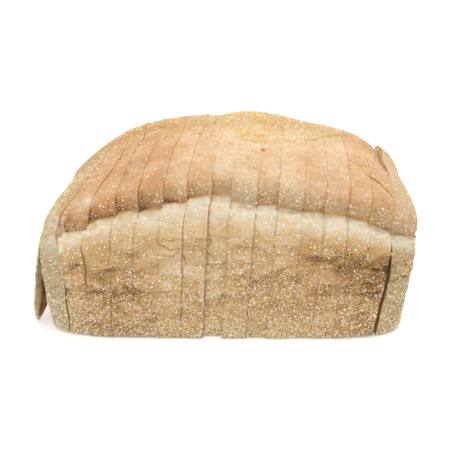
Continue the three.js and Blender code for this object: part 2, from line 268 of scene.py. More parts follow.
def bell(value):
    return np.exp(-value * value)


def smooth(low, high, value):
    """An S-shaped step from 0 at low to 1 at high."""
    share = np.clip((value - low) / (high - low), 0, 1)
    return share * share * (3 - 2 * share)


def srgb(*levels):
    """A colour given as sRGB levels of 0 to 255, as the linear one that a shader takes."""
    level = np.array(levels) / 255
    return tuple(np.where(level > 0.04045, ((level + 0.055) / 1.055) ** 2.4, level / 12.92).tolist())


# The peeled crust's mesh, the grains and the coarse grits.
FLAP_ROUND = 240
FLAP_RINGS = 24
GRIT_COUNT = 230
GRIT_RADIUS = 0.75
GRIT_SPREAD = 0.4
GRIT_SHARE = 0.75
GRIT_LOWEST = 4
STEP_U = 0.7548776662
STEP_V = 0.569840291
GRAIN_SMALL = 0.26
GRAIN_LARGE = 0.7
GRAIN_RISE = -0.05
GRAIN_LEAN = 1.8
GRAIN_LOWEST = 1.2
GRAIN_SEED = 7

# The meal's three colours: name, count, two tints, and how much more of it lies on the dome.
MEAL = [
    ("pale", 15000, srgb(255, 255, 250), srgb(250, 242, 220), 0.7),
    ("yellow", 9000, srgb(248, 230, 150), srgb(240, 214, 140), 1.0),
    ("gold", 3500, srgb(240, 190, 96), srgb(240, 200, 120), 3.0),
]

# The crust's colours, from floury to dark.
DOME_STOPS = [
    (0.0, srgb(234, 220, 192)), (0.3, srgb(226, 191, 150)), (0.5, srgb(210, 158, 108)),
    (0.72, srgb(182, 118, 60)), (1.0, srgb(108, 60, 20)),
]
WALL_STOPS = [
    (0.0, srgb(234, 218, 192)), (0.3, srgb(216, 190, 152)), (0.5, srgb(202, 166, 121)),
    (0.72, srgb(186, 142, 96)), (1.0, srgb(118, 74, 34)),
]
GOLD = srgb(222, 176, 92)
# The dust's colour, also used for the painted shade on the low near dome.
DUST_AND_SHADE_TINT = srgb(184, 166, 128)
MEAL_DUST = srgb(240, 222, 178)
PIT = srgb(140, 98, 56)
# The flour's colour, also used for the painted highlight on the cut rims.
FLOUR_AND_HIGHLIGHT_TINT = srgb(229, 222, 206)
SPECK_CELL = 0.95
SPECK_SHARE = 0.5
SPECK_RIM = (0.45, 0.28)
SPECK_OPACITY = 0.6
SPECK_STOPS = [(0.0, srgb(250, 244, 228)), (0.5, srgb(246, 226, 170)), (1.0, srgb(232, 188, 110))]
WALL_EDGE = srgb(170, 124, 74)
DOME_EDGE = srgb(222, 138, 66)
CRUMB = srgb(244, 228, 196)
CRUMB_HOLE = srgb(206, 176, 130)

# Noises of the crust's finish: each grain is a size in millimetres, its detail and roughness, and each
# span is where the noise begins and ends, and what it becomes there.
BLOTCHES = [(11, 3, 0.35), (1.6, 2, 0.22)]
# How strongly the fine relief's height paints shade into grooves and highlight onto ridges.
RISE_PAINTED_SHADING = 0.17
LAYERS = [
    ("gold", GOLD, (6, 3), (0.35, 0.65)), ("dust", DUST_AND_SHADE_TINT, (4, 3), (0.2, 0.6, 0.6, 1)),
    ("flour", FLOUR_AND_HIGHLIGHT_TINT, (5, 4, 0.65), (0.38, 0.62, 0.25, 1)), ("mottle", MEAL_DUST, (1.3, 3, 0.7), (0.5, 0.66)),
]
PIT_GRAIN = (1.5, 3, 0.7)
PIT_SPAN = (0.5, 0.36)
EDGE_SPAN = (0.3, 0.6, 0.4, 0.9)
HOLE_GRAIN = (3.4, 4, 0.7)
HOLE_SPAN = (0.34, 0.52)
FINE_GRAIN = (1.1, 3, 0.65)
FINE_HEIGHT = 0.9
BUMP_DEPTH = 0.5

# The camera, the lights and their places and sizes in metres, and the floor and backdrop: each from a
# place across to another, up to a height, with its glow.
CAMERA_TURN = np.radians(0.668)
CAMERA_PITCH = np.radians(17.0)
CAMERA_LENS = 42.18
CAMERA_TARGET = np.array([3.1, -0.7, 51.5])
CAMERA_DISTANCE = 344.5
SENSOR_WIDTH = 36
NEAREST_SEEN = 0.01
LIGHTS = [("key", (-0.05, -0.65, 0.95), 0.5, 4.9), ("top", (0.1, -0.25, 1.1), 0.6, 4.1)]
LIT_PLACE = (0, 0, 0.05)
WORLD_POWER = 0.29
WORLD_SHOWN = 0.95
PALE = (0.85, 0.85, 0.85)
SHEET_HALF = 3000
SHEETS = [("floor", -3000, 2400, 0, 0.3), ("backdrop", 1200, 1200, 3000, 1.2)]


def hashed(cells, seed):
    """A value in -1..1 for each whole-numbered corner, mixed from its three numbers and the seed."""
    mixed = cells[..., 0] * 374761393 + cells[..., 1] * 668265263 + cells[..., 2] * 1442695041
    mixed = (mixed + seed * 1274126177) & 0xFFFFFFFF
    mixed = ((mixed ^ (mixed >> 13)) * 1274126177) & 0xFFFFFFFF
    return ((mixed ^ (mixed >> 16)) & 0xFFFF) / 32767.5 - 1


def noise(points, size, seed):
    """Value noise in -1..1: the hashed corners of a lattice of the given cell size, joined smoothly."""
    scaled = points / np.asarray(size, float)
    low = np.floor(scaled).astype(np.int64)
    part = scaled - low
    part = part * part * (3 - 2 * part)
    total = np.zeros(points.shape[:-1])
    for corner in product((0, 1), repeat=3):
        weight = np.prod(np.where(np.array(corner) == 1, part, 1 - part), axis=-1)
        total += weight * hashed(low + np.array(corner), seed)
    return total


def waves(points, kind):
    """The sum of a kind's waves of noise."""
    return sum(height * noise(points, size, seed) for height, size, seed in WAVES[kind])


def patchy(points, kind):
    low, high, size, seed = PATCHES[kind]
    return smooth(low, high, noise(points, size, seed))


def window(span, value):
    """A bell at a middle with a reach, or a step past one border towards another; without a span, 1."""
    if span is None:
        return 1
    kind, first, second = span
    return bell((value - first) / second) if kind == "at" else smooth(first, second, value)


def toned(rows, up, x):
    """The sum of amounts, each where its windows up the crust and along the loaf let it through."""
    return sum(amount * window(rise, up) * window(along, x) for amount, rise, along in rows)


# The outline's corner points as four columns: across on the even side, across on the side that
# tightens to the right, share of the lip's height and share of the rise from lip to crest.
def outline_columns(full=False):
    wall, crease, dome = (FULL_WALL, FULL_CREASE, FULL_DOME) if full else (WALL, CREASE, NEAR_DOME)
    near = [(-y, 0, share, 0) for y, share in wall]
    dome = [(-y, 0, 1, share) if y <= 0 else (0, -y, 1, share) for y, share in dome]
    far = [(y, 0, 1, share) for y, share in FAR_DOME]
    back = [(y, 0, share, 0) for y, share in reversed(WALL)]
    near += [(0, -crease, 1, 0), *dome, (CREST, 0, 1, 1)]
    return np.array([(0, 0, 0, 0), *near, *far, (CREASE + 2, 0, 1, 0), *back], float)


COLUMNS = outline_columns()
SPANS = len(COLUMNS)


def columns_at(s, columns=COLUMNS):
    """The closed Catmull-Rom curve through the outline's columns, at s in spans."""
    span = np.floor(s).astype(int)
    t = (s - span)[:, None]
    a, b, c, d = (columns[(span + k) % SPANS] for k in (-1, 0, 1, 2))
    return 0.5 * (2 * b + (c - a) * t + (2 * a - 5 * b + 4 * c - d) * t**2 + (3 * b - a - 3 * c + d) * t**3)


def lip_and_crest(along):
    """Heights of the lip and crest at a share of the half length: parabolas, and humps on the crest."""
    lip = LIP_HEIGHT + LIP_RISE * along - LIP_DROOP * along**2
    humps = sum(hump * bell((along - place) / width) for place, width, hump in HUMPS)
    return lip, CREST_HEIGHT + CREST_RISE * along - CREST_DROOP * along**2 + humps


def shrink(along, power):
    """What a superellipse of the given power leaves of the section's size at a share of the half length."""
    return (1 - np.minimum(1, np.abs(along)) ** power) ** (1 / power)


def folds_at(x, z):
    """For each fold, how strong it is at a place along the loaf, and how far above its line the place is.

    The line slopes, bows and winds, and the strength is the depth times a flat-topped bell.
    """
    for middle, height, half_length, slope, depth in FOLDS:
        off = x - middle
        winding = FOLD_BOW * (off / half_length) ** 2 + FOLD_WIND * np.sin(off / FOLD_WAVE + height)
        yield depth * np.exp(-((off / half_length) ** 4)), z - height - slope * off - winding


def relief(x, y, z):
    """The folds and lumps that the crust has at large, outwards: bell-shaped grooves and three waves."""
    folds = sum(strength * bell(rise / FOLD_WIDTH) for strength, rise in folds_at(x, z))
    depth = -FOLD_SHARE * folds * (y < 0)
    for lump, along_wave, across_wave, up_wave in LUMPS:
        depth = depth + lump * np.sin(x / along_wave + y / across_wave + z / up_wave)
    return depth * smooth(0, BASE_EDGE, z)


def share_along(angle):
    """The share of the half length at an angle: the sine's side of a superellipse."""
    sine, cosine = np.sin(angle), np.cos(angle)
    return sine / (np.abs(sine) ** GRID_POWER + np.abs(cosine) ** GRID_POWER) ** (1 / GRID_POWER)


def crust(columns, angle):
    """The crust: the outline, shrunk towards the ends by superellipses of the angle, with the relief."""
    along = share_along(angle)
    even, tightening, wall_share, dome_share = columns
    lip, crest = lip_and_crest(along)
    across = even + tightening * (1 + TIGHT_SIDE * smooth(-0.2, 0.3, along))
    height = wall_share * lip + dome_share * (crest - lip)
    domed = smooth(MID_HEIGHT, LIP_HEIGHT + DOME_BLEND, height)
    dome_power = mix(LEFT_DOME_POWER, RIGHT_DOME_POWER, smooth(-0.5, 0.5, along))
    across_power = mix(WALL_POWER, dome_power, domed)
    height_power = np.where(height < MID_HEIGHT, BASE_POWER, mix(SHOULDER_POWER, dome_power, domed))
    belly = 1 + BELLY * (1 - along**2) * (1 - smooth(0, BELLY_HEIGHT, height))
    y = across * belly * shrink(along, across_power)
    raised = MID_HEIGHT + (height - MID_HEIGHT) * shrink(along, height_power)
    z = np.maximum(0, raised - BASE_LIFT * (1 - smooth(0, BASE_EDGE, height)))
    x = along * (HALF_LENGTH - END_TAPER * np.maximum(0, 1 - z / TAPER_HEIGHT) ** 2)
    up = (z - MID_HEIGHT) / MID_HEIGHT
    out = relief(x, y, z) / np.maximum(1e-6, np.sqrt((x / HALF_LENGTH) ** 2 + (y / CREASE) ** 2 + up**2))
    x = x + out * x * np.abs(along) ** BASE_POWER / HALF_LENGTH
    x = x + LEFT_TUCK * smooth(-50, -92, x) * bell((z - 92) / 24)
    return np.stack([x, y + out * y / CREASE, np.maximum(0, z + out * up)], axis=-1)


def cut_x(cut, y, z):
    """Where a cut lies along the loaf at a place across and up; cut -1 took off the left end."""
    start = END_CUT if cut < 0 else FIRST_CUT + cut * SLICE_THICKNESS + CUT_ERRORS[cut]
    place = np.stack([np.full_like(y, 40.0 * cut), y, z], axis=-1)
    waver = CUT_WAVER * waves(place, "waver")
    at_lip, up_dome = BENDS[cut] if 0 <= cut < len(BENDS) else (0, 0)
    bent = at_lip * smooth(82, 70, z) * smooth(45, 62, z) + up_dome * smooth(80, 98, z)
    if cut == SLICE_COUNT:
        bent = bent + LAST_BEND * bell((z - 40) / 22)
    return start + CUT_SKEW * y + CUT_LEAN * z + waver + bent * smooth(25, -8, y)


def half_gap(cut, y, z):
    """Half the width of a cut: its kerf, wider where the last cut opens and where a cut gapes."""
    wide = WIDE_GAP * (smooth(*LOW_GAP, z) + smooth(*HIGH_GAP, z)) if cut == SLICE_COUNT else 0
    for gaping, low, high, width in GAPS:
        if gaping == cut:
            tall = smooth(low - 3, low + 3, z) * smooth(high + 3, high - 3, z)
            wide = wide + width * tall * smooth(-25, -40, y)
    return (KERF + wide) / 2


def at_cuts(values, cuts):
    """The values of a piece's two cuts; there is none at an end of the loaf."""
    start, end = cuts
    return values[start] if start >= 0 else 0, 0 if end is None else values[end]


def angle_reaching(columns, limit):
    """The angle at which each line of the crust passes a limit along the loaf, by halving."""
    low = np.full(columns.shape[1], -np.pi / 2)
    high = -low
    for _ in range(HALVINGS):
        middle = (low + high) / 2
        x, y, z = crust(columns, middle).T
        short = x < limit(y, z)
        low, high = np.where(short, middle, low), np.where(short, high, middle)
    return (low + high) / 2


def angle_at_cut(columns, cut, side):
    return angle_reaching(columns, lambda y, z: cut_x(cut, y, z) + side * half_gap(cut, y, z))


def walked_outline(steps, base_weight):
    """The length walked round the outline in the middle of the loaf, and the places there, in spans."""
    fine = np.linspace(0, SPANS, SPANS * steps + 1)
    points = crust(columns_at(fine % SPANS).T, np.zeros(len(fine)))
    lengths = np.linalg.norm(np.diff(points, axis=0), axis=1)
    lengths *= np.where(points[1:, 2] < 0.01, base_weight, 1)
    return np.concatenate([[0], np.cumsum(lengths)]), fine


# Places round the outline, evenly spaced by length, sparser under the base.
WALKED, FINE = walked_outline(60, BASE_WEIGHT)
PLACES = np.interp(np.arange(ROUND) / ROUND * WALKED[-1], WALKED, FINE)
ROUND_COLUMNS = columns_at(PLACES).T
FULL_COLUMNS = columns_at(PLACES, outline_columns(full=True)).T


def outward(points, closed_end):
    """Unit normals of a grid: the cross product of its steps along the loaf and round it."""
    lengthways = np.gradient(points, axis=1)
    around = np.roll(points, -1, axis=0) - np.roll(points, 1, axis=0)
    normal = np.cross(lengthways, around)
    size = np.linalg.norm(normal, axis=-1, keepdims=True)
    normal = normal / np.maximum(size, 1e-9)
    if closed_end:
        normal[:, -1] = (1, 0, 0)
    return normal


def zones_at(height, lip, crest):
    """Where a height lies: its share of the wall's height and of the dome's rise."""
    return {"wall": np.clip(height / lip, 0, 1.2), "dome": np.clip((height - lip) / (crest - lip), -0.2, 1.2)}


def surface_zones(points):
    """The zones of points on the finished surface, whose ends shrink as the crust does."""
    x, z = points[..., 0], points[..., 2]
    along = np.clip(x / HALF_LENGTH, -1, 1)
    lip, crest = lip_and_crest(along)
    power = mix(SHOULDER_POWER, mix(LEFT_DOME_POWER, RIGHT_DOME_POWER, smooth(-0.5, 0.5, along)), 0.6)
    kept = np.maximum(shrink(along, power), 0.35)
    lip = MID_HEIGHT + (lip - MID_HEIGHT) * kept
    crest = MID_HEIGHT + (crest - MID_HEIGHT) * kept
    return zones_at(z, lip, crest)


def outline_zones(columns, angle):
    """The zones of the crust's own grid, from its lines' heights before the ends shrink."""
    along = share_along(angle)
    lip, crest = lip_and_crest(along)
    height = columns[2] * lip + columns[3] * (crest - lip)
    return zones_at(height, lip, crest)


def near_side(y):
    return smooth(*NEAR_BORDER, y)


def on_dome(zones):
    return smooth(*DOME_BORDER, zones["wall"])


def dusty(points):
    """How far a place is past the dust line, from 0 before it to 1 behind it, with an uneven border."""
    beyond = points[..., 1] - np.interp(points[..., 0], *zip(*DUST_LINE))
    return smooth(-3, 4, beyond + 3 * noise(points, 6, 13)), bell(beyond / 1.3)


def torn(points, zones):
    """Where the crust is torn to pale crumb: bits along the wall's upper edge, and the left heel's tear."""
    x, z = points[..., 0], points[..., 2]
    along, up, reach, rise = TEAR
    distance = ((x - along) / reach) ** 2 + ((z - up) / rise) ** 2 + 0.5 * waves(points, "tear")
    tear = smooth(1.1, 0.5, distance)
    fringe = patchy(points, "fringe") * bell((zones["wall"] - 0.95) / 0.03)
    return np.maximum(tear, fringe) * (points[..., 1] < 0)


def spots(points):
    """The lift, toast and flour of the single spots: bells of the distance from each."""
    totals = np.zeros((3, *points.shape[:-1]))
    for x, y, z, radius, *amounts in SPOTS:
        distance = np.linalg.norm(points - np.array([x, y, z]), axis=-1)
        totals += np.array(amounts)[:, None, None] * bell(distance / radius)[None]
    return totals


def cracked(points):
    """How deep in a crack a point is: bells of the distance from each crack's line."""
    depth = np.zeros(points.shape[:-1])
    wander = 0.2 * noise(points, 2.5, 51)
    for start, end, width in CRACKS:
        line = np.subtract(end, start)
        offset = points - np.array(start)
        share = np.clip(offset @ line / (line @ line), 0, 1)
        distance = np.linalg.norm(offset - share[..., None] * line, axis=-1) + wander
        depth = np.maximum(depth, bell(distance / width))
    return depth


def cut_strength(points, zones, cuts, share):
    """How plainly the nearest cut shows: each has its strength, in stretches, and least in the thick dust."""
    halves = smooth(0.45, 0.55, share)
    fading = 1 - 0.8 * smooth(0.45, 0.8, zones["dome"])
    dome = mix(*at_cuts(DOME_CUTS, cuts), halves) * (0.1 + 0.9 * patchy(points, "plain cut")) * fading
    wall = mix(*at_cuts(WALL_CUTS, cuts), halves) * (0.4 + 0.6 * patchy(points, "wall cut"))
    return mix(wall, dome, on_dome(zones))


def fine_relief(points, zones, edge, strength):
    """Wrinkles, pores and grit of the crust, outwards: creases where stretched noise crosses zero."""
    up = zones["wall"]
    wall = smooth(1, 0.96, up)
    creases = bell(waves(points, "wrinkle") / WRINKLE_WIDTH) * (0.35 + 0.65 * patchy(points, "creased"))
    small = bell(noise(points, (6.5, 6.5, 3.1), 6) / SMALL_WRINKLE_WIDTH)
    band = smooth(0.12, 0.3, up) * smooth(0.88, 0.7, up) * wall
    relieved = ledges(points) - (WRINKLE_DEPTH * creases + SMALL_WRINKLE_DEPTH * small) * band
    relieved += mix(0.6 * waves(points, "lump"), waves(points, "swell"), wall * smooth(0.98, 0.8, up))
    fringe = bell((up - 0.94) / 0.05) * (points[..., 1] < 0)
    relieved += FRINGE_LUMP * noise(points, (3.4, 3.4, 2.4), 53) * fringe
    relieved += waves(points, "grain") * mix(0.6, 1, wall)
    grooves = GROOVE_DEPTH * dusty(points)[1] * patchy(points, "groove")
    relieved -= (PORE_DEPTH * patchy(points, "pore") + grooves) * (1 - wall)
    relieved -= CUT_DIP * bell(edge / CUT_DIP_WIDTH) * strength
    relieved += torn(points, zones) * (0.5 + waves(points, "ragged"))
    relieved += spots(points)[0] - CRACK_DEPTH * cracked(points)
    return relieved * smooth(0.04, 0.16, up)


def ledges(points):
    """The swelling above each pressed fold of the near wall: bells along and up, a little over the fold."""
    wander = 1.2 * noise(points, (9, 40, 40), 14)
    swelling = 0
    for strength, rise in folds_at(points[..., 0], points[..., 2] - wander):
        swelling = swelling + strength * (0.95 * bell((rise - 4.2) / 3.2) - 0.25 * bell(rise / 1.2))
    return swelling * (points[..., 1] < 0)


def looks(points, zones, edge, strength, share, number):
    """What colours the crust: how toasted, floury, golden, gritty and dusty it is at each point, with painted
    shade in the crease, on the low near dome, beside the cuts and along the foot, and painted highlight on
    the cut rims.
    """
    x = points[..., 0]
    wall, dome = zones["wall"], zones["dome"]
    near, domed = near_side(points[..., 1]), on_dome(zones)
    near_dome = near * domed
    right = smooth(-70, 60, x)
    outer = smooth(20, 50, np.abs(x))
    crest = dusty(points)[0] * domed
    bare = torn(points, zones)
    # Painted shade: the crease under the near lip gets more toast, and gold towards the ends, and loses its
    # flour, grit and dust.
    crease = smooth(0.06, 0, dome) * near_dome
    _, browned, whitened = spots(points)
    left_heel, right_heel = number == 0, number == SLICE_COUNT + 1

    fading = smooth(0.62, 0.95, wall) * mix(*WALL_FADING, right)
    wall_toast = mix(*WALL_TOAST, smooth(0.1, 0.65, wall)) * (1 - fading) + toned(WALL_TONES, wall, x)
    low = mix(*LIP_TOAST, right) * smooth(0.34, 0.1, dome) + mix(*EDGE_TOAST, right) * smooth(0.1, 0, dome)
    dome_toast = mix(*DOME_TOAST, right) + low * (1 - 0.8 * bell((x + 1) / 20)) + toned(DOME_TONES, dome, x)
    toast = mix(wall_toast, dome_toast, domed) * (1 - 0.8 * bare) + browned + 0.4 * cracked(points)
    # Painted shade on the near lip: each slice is toasted darker just right of its left cut and a little
    # paler towards its right cut.
    painted_step_shade = 0 if left_heel or right_heel else smooth(0.42, 0.1, dome) * near_dome * smooth(30, -20, x)
    toast += TONES[number] + (0.12 + 0.16 * outer) * crease + painted_step_shade * (0.2 * bell(share / 0.45) - 0.06)

    # Flour stops just below the lip, so the painted shade line there stays dark.
    flour = smooth(0.8, 0.96, wall) * (1 - 0.8 * smooth(0.985, 0.995, wall)) * mix(0.5, 1, right)
    flour += 0.4 * bell((wall - 0.955) / 0.025) * bell(x / 50)
    powder = 0.3 * smooth(0.2, 0.8, waves(points, "powder")) * near + 0.05
    flour = np.maximum(mix(flour, powder, domed), (0.1 if left_heel else 0.95) * bare) + whitened

    gold = mix(0.25 + 0.3 * bell((wall - 0.86) / 0.1), crest * (0.3 + 0.7 * bell((x - 13) / 20)), domed)
    gold += 0.9 * crease * outer

    wall_grit = 0.28 + 0.5 * smooth(0.85, 0, wall) + 0.25 * smooth(0.08, 0.02, wall)
    lip_grit = 0.5 * smooth(0.32, 0.15, dome) * smooth(0, 0.05, dome)
    grit = mix(wall_grit, np.maximum(0.12 + 0.3 * crest, lip_grit), domed) * (1 - 0.8 * bare)
    grit *= 1 - 0.9 * crease

    # Painted shade: the low near dome, from the left end to the middle, is greyed with the dust colour.
    painted_lip_shade = smooth(-70, 5, x) * smooth(0.34, 0.08, dome) * near_dome
    dust = np.maximum(0.5 * smooth(0.1, 0.03, wall), 0.62 * painted_lip_shade) * (1 - 0.8 * crease)
    if left_heel:
        toast = toast * mix(0.75, 1, domed)
        dust = np.maximum(dust, mix(mix(0.85, 0.8, bare), 0.5, domed))
        flour = flour * mix(0.2, 1, np.maximum(domed, bare))
    if right_heel:
        toast = toast * mix(0.85, 0.9, domed)
        dust = np.maximum(dust, mix(0.55, 0.3, domed))

    # Painted shadow and highlight at the cuts: the cut colour reaches wider on the wall of the slice right of
    # each cut, and pale flour is painted along the rim of the slice left of it, on the wall and the low near
    # dome.
    after = smooth(0.55, 0.45, share)
    width = mix(mix(0.25, 0.8, after), mix(0.3, 0.5, smooth(-20, 40, x)), domed)
    cut = bell(edge / width) * strength * mix(0.85, 0.9, domed)
    rim = bell((edge - 0.5) / 0.4) * (1 - after)
    flour += 0.35 * rim * strength * (1 - domed) + 0.3 * rim * smooth(0.35, 0.15, dome) * near_dome
    mottle = mix((0.35 + 0.45 * grit) * (1 - 0.5 * smooth(0.35, 0.7, wall)), 0.15 + 0.5 * grit, domed)
    return {
        "toast": toast, "flour": flour * (1 - crease), "gold": gold, "grit": grit, "dust": dust, "cut": cut,
        "domed": domed, "mottle": mottle, "crumb": (0.1 if left_heel else 0.5) * bare,
    }


def setting(number, zones, cuts, share):
    """How much a piece stands out at its two cuts, at the crest and in the filled crease."""
    steps = (at_cuts(values, cuts) for values in (WALL_STEPS, LIP_STEPS, DOME_STEPS))
    wall, lip, dome = (0.5 * mix(-first, last, share) for first, last in steps)
    low = mix(wall, lip, smooth(0.96, 1, zones["wall"]))
    risen = CRESTS[number] * smooth(0.7, 0.95, zones["dome"])
    risen += CREASE_FILL * bell((zones["wall"] - 1) / 0.03)
    if cuts[1] == SLICE_COUNT:
        risen -= NOTCH * bell((1 - share) / 0.35) * smooth(0.6, 0.85, zones["dome"])
    return (mix(low, dome, smooth(0.12, 0.4, zones["dome"])) + risen) * smooth(0.04, 0.2, zones["wall"])


def lip_drop(number, points, zones, share):
    """How far the near lip and its crease hang lower than in the plain outline, from one cut to the other."""
    beside = smooth(0.78, 1, zones["wall"]) * smooth(0.4, 0.06, zones["dome"])
    return mix(*LIPS[number], share) * beside * smooth(5, -15, points[..., 1])


def make_mesh(name, points, faces, values):
    """A smooth-shaded mesh object from arrays: points in mm, faces of three or four, and point values."""
    mesh = bpy.data.meshes.new(name)
    mesh.vertices.add(len(points))
    mesh.vertices.foreach_set("co", ((points - MIDDLE) * MM).astype(np.float32).ravel())
    sizes = np.concatenate([np.full(len(group), group.shape[1]) for group in faces])
    mesh.loops.add(int(sizes.sum()))
    corners = np.concatenate([group.ravel() for group in faces])
    mesh.loops.foreach_set("vertex_index", corners.astype(np.int32))
    mesh.polygons.add(len(sizes))
    starts = np.concatenate([[0], np.cumsum(sizes)[:-1]])
    mesh.polygons.foreach_set("loop_start", starts.astype(np.int32))
    mesh.polygons.foreach_set("use_smooth", np.ones(len(sizes), bool))
    for label, value in values.items():
        attribute = mesh.attributes.new(label, "FLOAT", "POINT")
        attribute.data.foreach_set("value", value.astype(np.float32))
    mesh.update(calc_edges=True)
    mesh.validate()
    mesh.set_sharp_from_angle(angle=SHARP_ANGLE)
    piece = bpy.data.objects.new(name, mesh)
    bpy.context.scene.collection.objects.link(piece)
    return piece


def cap_points(edge_points, cut, side):
    """Rings that close a cut face: the edge drawn in towards the middle, on the cut's own surface."""
    middle = np.array([0, 0, MID_HEIGHT])
    rings = [middle + (edge_points - middle) * share for share in CAP_RINGS] + [middle[None]]
    points = np.concatenate(rings)
    y, z = points[:, 1], points[:, 2]
    points[:, 0] = cut_x(cut, y, z) + side * half_gap(cut, y, z)
    return points


def cap_faces(edge, first, side):
    """Quads between the rings of a cut face and triangles round its middle, facing out of the slice."""
    rings = [edge] + [first + k * ROUND + np.arange(ROUND) for k in range(len(CAP_RINGS))]
    quads = []
    for outer, inner in zip(rings, rings[1:]):
        quad = np.stack([outer, inner, np.roll(inner, -1), np.roll(outer, -1)], axis=1)
        quads.append(quad if side < 0 else quad[:, ::-1])
    last = rings[-1]
    middle = np.full(ROUND, first + len(CAP_RINGS) * ROUND)
    triangles = np.stack([middle, np.roll(last, -1), last], axis=1)
    return [np.concatenate(quads), triangles if side < 0 else triangles[:, ::-1]]


def bread(start_cut, end_cut, stations):
    """A slice or heel: the crust between two cuts, or from a cut to the right end's tip, with cut faces."""
    number = start_cut + 1
    columns = ROUND_COLUMNS if number else FULL_COLUMNS
    closed_end = end_cut is None
    start = angle_at_cut(columns, start_cut, 1)
    end = np.full(ROUND, np.pi / 2) if closed_end else angle_at_cut(columns, end_cut, -1)
    shares = np.linspace(0, 1, stations + 1)
    if not closed_end:
        shares = shares + STATION_DRIFT * np.sin(-2 * np.pi * shares)
    angle = mix(start[:, None], end[:, None], shares[None, :])
    points = crust(columns[:, :, None], angle)
    x, y, z = np.moveaxis(points, -1, 0)
    from_start = x - cut_x(start_cut, y, z)
    to_end = END_REACH - from_start if closed_end else cut_x(end_cut, y, z) - x
    edge = np.clip(from_start if closed_end else np.minimum(from_start, to_end), 0, EDGE_REACH)
    share = np.clip(from_start / (from_start + to_end), 0, 1)
    cuts = (start_cut, end_cut)
    zones = outline_zones(columns[:, :, None], angle)
    strength = cut_strength(points, zones, cuts, share)
    normal = outward(points, closed_end)
    normal[..., 0] *= smooth(1, EDGE_REACH, edge) if closed_end else 0
    fine = fine_relief(points, zones, edge, strength)
    points = points + normal * (fine + setting(number, zones, cuts, share))[..., None]
    points[..., 2] -= lip_drop(number, points, zones, share)
    points[..., 2] = np.maximum(points[..., 2], 0)
    if closed_end:
        points[:, -1] = points[:, -1].mean(axis=0)
    ends = [(0, start_cut, 1), (-1, end_cut, -1)][: 1 if closed_end else 2]
    for column, cut, side in ends:
        y, z = points[:, column, 1], points[:, column, 2]
        points[:, column, 0] = cut_x(cut, y, z) + side * half_gap(cut, y, z)
    values = looks(points, zones, edge, strength, share, number)
    # The fine relief's height, which the material turns into painted shade and highlight.
    values["rise"] = fine
    index = np.arange(ROUND * (stations + 1)).reshape(ROUND, stations + 1)
    after = np.roll(index, -1, axis=0)
    corners = [index[:, :-1], index[:, 1:], after[:, 1:], after[:, :-1]]
    faces = [np.stack([c.ravel() for c in corners], axis=1)]
    points = points.reshape(-1, 3)
    values = {label: value.ravel() for label, value in values.items()}
    if closed_end:
        faces, points, values = close_tip(faces[0], points, values, index)
    # Painted shade in the last gap: its cut faces are toasted darker and, below the crest, show less crumb.
    cap_value = {"toast": 0.75, "cut": 0.3} if SLICE_COUNT in cuts else {"toast": 0.6, "cut": 1}
    for column, cut, side in ends:
        cap = cap_points(points[index[:, column]], cut, side)
        faces += cap_faces(index[:, column], len(points), side)
        points = np.concatenate([points, cap])
        painted_gap_shade = smooth(94, 86, cap[:, 2]) if cut == SLICE_COUNT else 0
        plain, darker = (np.append(np.repeat(shown[:-1], ROUND), 1) for shown in (CAP_CRUMB, GAP_PAINTED_SHADE_CRUMB))
        cap_value["crumb"] = mix(plain, darker, painted_gap_shade)
        for label, value in values.items():
            values[label] = np.append(value, np.broadcast_to(cap_value.get(label, 0), len(cap)))
    zones = surface_zones(points)
    values["domed"] = on_dome(zones)
    fading = smooth(0.5, 0.15, zones["dome"]) * smooth(40, -10, points[:, 1])
    pushed = PUSHED[number] * fading[:, None]
    return points + pushed * np.array([CUT_SKEW, 1, 0]), faces, values


def close_tip(quads, points, values, index):
    """Joins the right end's last ring, which is one place, into one point."""
    tip = index[0, -1]
    merged = np.where(np.isin(quads, index[:, -1]), tip, quads)
    at_tip = (merged == tip).sum(axis=1) == 2
    triangles = merged[at_tip][:, [0, 1, 3]]
    used = np.unique(np.concatenate([merged[~at_tip].ravel(), triangles.ravel()]))
    new = np.full(len(points), -1)
    new[used] = np.arange(len(used))
    index[:] = new[index]
    values = {label: value[used] for label, value in values.items()}
    return [new[merged[~at_tip]], new[triangles]], points[used], values


